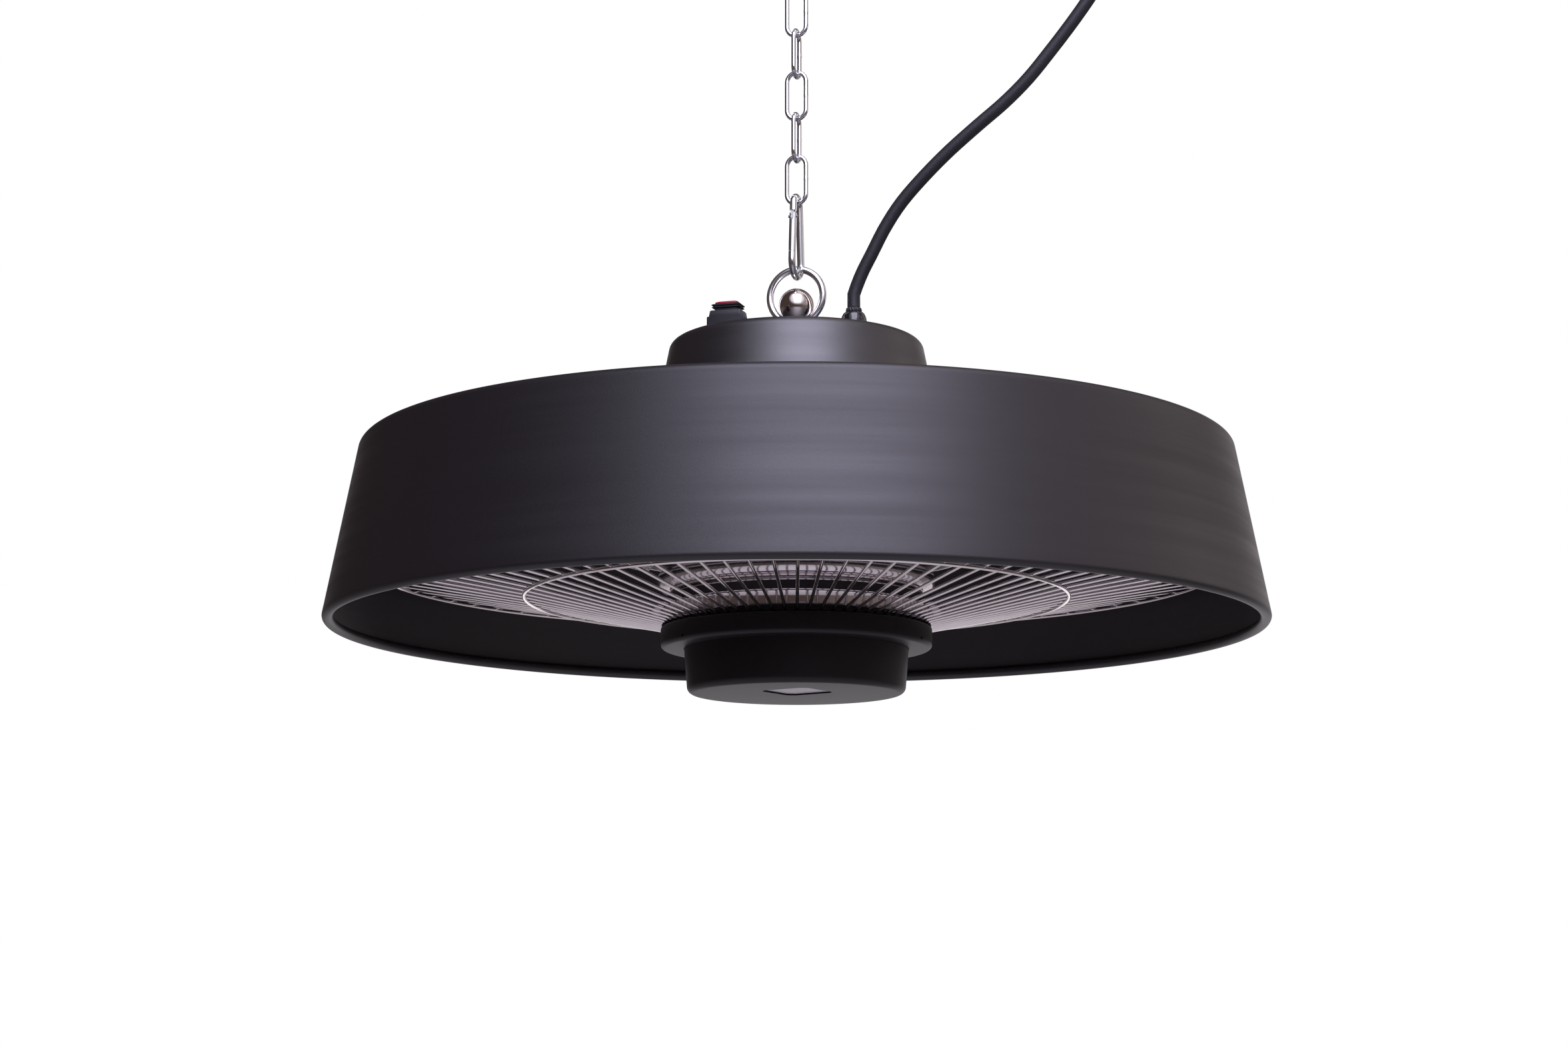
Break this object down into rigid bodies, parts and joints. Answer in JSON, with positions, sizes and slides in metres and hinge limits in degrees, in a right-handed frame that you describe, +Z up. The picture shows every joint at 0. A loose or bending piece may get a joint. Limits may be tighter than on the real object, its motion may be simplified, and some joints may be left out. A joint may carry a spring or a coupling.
{
  "type": "hanging electric patio heater",
  "caption": "Hanging electric patio heater: tapered black shade over a ring lamp and wire grille, with a switch and cable gland on its cap, hung by a ball stud, carabiner and chain.",
  "frame": {"origin": "middle of the ceiling plate's upper face, on the hanging axis", "axes": "+Z up out of the ceiling plate; the mains cable leaves the cap towards +X; the switch is at -X and -Y, the side that the picture mostly shows"},
  "size_m": [0.6432, 0.5998, 0.53],
  "materials": {
    "powder_black": "satin black powder coat on steel sheet",
    "hub_black": "matt black fine-texture coat",
    "steel": "zinc-plated steel",
    "chrome": "bright chrome plate on steel",
    "nickel": "polished nickel plate",
    "aluminium": "polished aluminium sheet",
    "quartz": "quartz tube with a gold-toned coat",
    "ceramic": "unglazed ceramic",
    "black_plastic": "matt black moulded plastic",
    "gloss_black": "glossy black moulded plastic",
    "rubber": "matt black rubber",
    "red_lens": "translucent red plastic",
    "receiver_lens": "pale translucent plastic",
    "board": "green coated circuit board",
    "grey_plastic": "light grey moulded plastic"
  },
  "bodies": {
    "ceiling_fitting": {"ceiling_plate": "chrome", "ceiling_screw_1": "chrome", "ceiling_screw_2": "chrome", "ceiling_hook": "chrome"},
    "link_6": {"chain_link_6": "chrome"},
    "link_5": {"chain_link_5": "chrome"},
    "link_4": {"chain_link_4": "chrome"},
    "link_3": {"chain_link_3": "chrome"},
    "link_2": {"chain_link_2": "chrome"},
    "link_1": {"chain_link_1": "chrome"},
    "carabiner": {"carabiner_body": "chrome", "gate_rivet": "steel"},
    "gate": {"carabiner_gate": "chrome"},
    "ring": {"hanging_ring": "chrome"},
    "rocker": {"switch_rocker": "rubber", "switch_lens": "red_lens"},
    "heater": {"ball_stud": "nickel", "stud_nut": "steel", "shade": "powder_black", "cap": "powder_black", "centre_tube": "steel", "tube_nut_upper": "steel", "tube_nut_lower": "steel", "tube_nut_hub": "steel", "heat_shield": "aluminium", "shield_spacer": "steel", "reflector_dish": "aluminium", "reflector_core": "aluminium", "lamp_tube": "quartz", "lamp_end_1": "ceramic", "lamp_end_2": "ceramic", "lamp_bracket": "steel", "lamp_clip_1": "steel", "lamp_clip_2": "steel", "grille": "chrome", "grille_bracket_1": "steel", "grille_bracket_2": "steel", "grille_bracket_3": "steel", "hub_pan": "hub_black", "hub_flange": "hub_black", "hub_screw_1": "steel", "hub_screw_2": "steel", "hub_screw_3": "steel", "hub_drum": "hub_black", "receiver_lens": "receiver_lens", "control_board": "board", "gland_body": "gloss_black", "gland_nut": "gloss_black", "gland_fingers": "black_plastic", "gland_locknut": "black_plastic", "switch_frame": "black_plastic", "switch_body": "black_plastic", "terminal_block": "grey_plastic", "cable": "rubber", "cable_coil": "rubber", "coil_tie": "black_plastic", "plug_body": "black_plastic", "plug_pin_1": "steel", "plug_pin_2": "steel"}
  },
  "joints": [
    {"name": "link_6_swing", "type": "hinge", "parent": "ceiling_fitting", "child": "link_6", "pos_m": [0, 0, -0.0373], "axis": [1, 0, 0], "range_deg": [-12, 12]},
    {"name": "link_5_swing", "type": "hinge", "parent": "link_6", "child": "link_5", "pos_m": [0, 0, -0.0649], "axis": [0, 1, 0], "range_deg": [-12, 12]},
    {"name": "link_4_swing", "type": "hinge", "parent": "link_5", "child": "link_4", "pos_m": [0, 0, -0.0935], "axis": [1, 0, 0], "range_deg": [-12, 12]},
    {"name": "link_3_swing", "type": "hinge", "parent": "link_4", "child": "link_3", "pos_m": [0, 0, -0.1221], "axis": [0, 1, 0], "range_deg": [-12, 12]},
    {"name": "link_2_swing", "type": "hinge", "parent": "link_3", "child": "link_2", "pos_m": [0, 0, -0.1507], "axis": [1, 0, 0], "range_deg": [-12, 12]},
    {"name": "link_1_swing", "type": "hinge", "parent": "link_2", "child": "link_1", "pos_m": [0, 0, -0.1793], "axis": [0, 1, 0], "range_deg": [-12, 12]},
    {"name": "carabiner_swing", "type": "hinge", "parent": "link_1", "child": "carabiner", "pos_m": [0, 0, -0.2079], "axis": [1, 0, 0], "range_deg": [-15, 15]},
    {"name": "gate_opens", "type": "hinge", "parent": "carabiner", "child": "gate", "pos_m": [0, -0.00724, -0.21829], "axis": [1, 0, 0], "range_deg": [0, 25], "stiffness_Nm_per_rad": 0.05, "springref_deg": -11.46},
    {"name": "ring_swing", "type": "hinge", "parent": "carabiner", "child": "ring", "pos_m": [0, 0, -0.2573], "axis": [0, 1, 0], "range_deg": [-20, 20]},
    {"name": "heater_tilt", "type": "hinge", "parent": "ring", "child": "heater", "pos_m": [0, 0, -0.2883], "axis": [1, 0, 0], "range_deg": [-35, 35]},
    {"name": "switch_rocks", "type": "hinge", "parent": "heater", "child": "rocker", "pos_m": [-0.0321, -0.044, -0.2946], "axis": [0, 1, 0], "range_deg": [-8, 8]}
  ]
}
